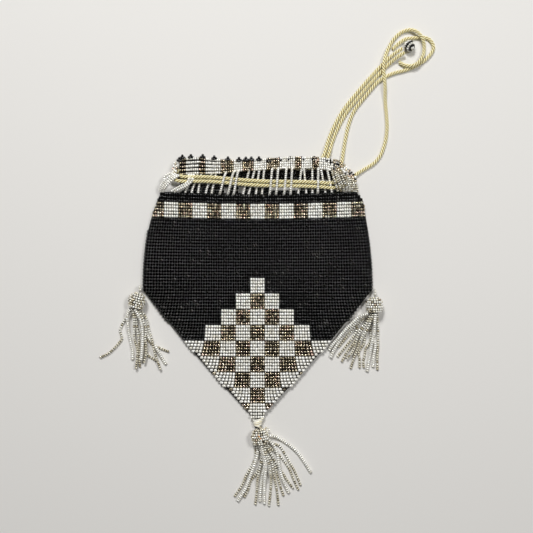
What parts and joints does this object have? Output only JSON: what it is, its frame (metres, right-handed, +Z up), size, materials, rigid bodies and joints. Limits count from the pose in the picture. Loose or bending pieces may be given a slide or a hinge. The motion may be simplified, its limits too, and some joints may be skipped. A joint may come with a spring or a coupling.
{
  "type": "beaded evening bag",
  "caption": "Flat drawstring evening bag woven of seed beads, pointed at the bottom, with a gathered heading, a doubled cord and beaded tassels.",
  "frame": {"origin": "on the table under the bag, on its middle line, level with the two side corners", "axes": "+X across the bag to the side where the cord comes out, +Y from the tip of the V to the mouth, +Z up from the table"},
  "size_m": [0.2254, 0.3211, 0.0128],
  "materials": {
    "black_beads": "opaque glossy black glass seed beads",
    "silver_beads": "bright cut metal seed beads",
    "gunmetal_beads": "dark bronze grey cut metal seed beads",
    "cotton_cord": "twisted cream cord"
  },
  "bodies": {
    "bag": {"front_panel": "black_beads", "back_panel": "black_beads", "front_heading": "silver_beads", "back_heading": "silver_beads", "drawstring_one": "cotton_cord", "drawstring_two": "cotton_cord", "drawstring_ball": "gunmetal_beads", "tip_thread_wrap": "cotton_cord"},
    "left_tassel": {"left_tassel_ring": "silver_beads", "left_tassel_cap": "gunmetal_beads", "left_tassel_strand_01": "gunmetal_beads", "left_tassel_strand_02": "gunmetal_beads", "left_tassel_strand_03": "gunmetal_beads", "left_tassel_strand_04": "gunmetal_beads", "left_tassel_strand_05": "gunmetal_beads", "left_tassel_strand_06": "gunmetal_beads", "left_tassel_strand_07": "gunmetal_beads", "left_tassel_strand_08": "gunmetal_beads", "left_tassel_strand_09": "silver_beads", "left_tassel_strand_10": "silver_beads"},
    "right_tassel": {"right_tassel_ring": "silver_beads", "right_tassel_cap": "gunmetal_beads", "right_tassel_strand_01": "gunmetal_beads", "right_tassel_strand_02": "gunmetal_beads", "right_tassel_strand_03": "gunmetal_beads", "right_tassel_strand_04": "gunmetal_beads", "right_tassel_strand_05": "gunmetal_beads", "right_tassel_strand_06": "gunmetal_beads", "right_tassel_strand_07": "gunmetal_beads", "right_tassel_strand_08": "gunmetal_beads", "right_tassel_strand_09": "gunmetal_beads", "right_tassel_strand_10": "gunmetal_beads", "right_tassel_strand_11": "silver_beads", "right_tassel_strand_12": "silver_beads"},
    "tip_tassel": {"tip_tassel_cap": "gunmetal_beads", "tip_tassel_strand_01": "gunmetal_beads", "tip_tassel_strand_02": "gunmetal_beads", "tip_tassel_strand_03": "gunmetal_beads", "tip_tassel_strand_04": "gunmetal_beads", "tip_tassel_strand_05": "gunmetal_beads", "tip_tassel_strand_06": "gunmetal_beads", "tip_tassel_strand_07": "gunmetal_beads", "tip_tassel_strand_08": "gunmetal_beads", "tip_tassel_strand_09": "gunmetal_beads", "tip_tassel_strand_10": "gunmetal_beads", "tip_tassel_strand_11": "gunmetal_beads", "tip_tassel_strand_12": "gunmetal_beads", "tip_tassel_strand_13": "silver_beads", "tip_tassel_strand_14": "silver_beads"}
  },
  "joints": [
    {"name": "left_tassel_lift", "type": "hinge", "parent": "bag", "child": "left_tassel", "pos_m": [-0.0783, 0.00105, 0.0056], "axis": [-1, 0, 0], "range_deg": [0, 90]},
    {"name": "right_tassel_lift", "type": "hinge", "parent": "bag", "child": "right_tassel", "pos_m": [0.0783, -0.00165, 0.0056], "axis": [-1, 0, 0], "range_deg": [0, 90]},
    {"name": "tip_tassel_lift", "type": "hinge", "parent": "bag", "child": "tip_tassel", "pos_m": [0.0005, -0.09235, 0.0056], "axis": [-1, 0, 0], "range_deg": [0, 90]}
  ]
}
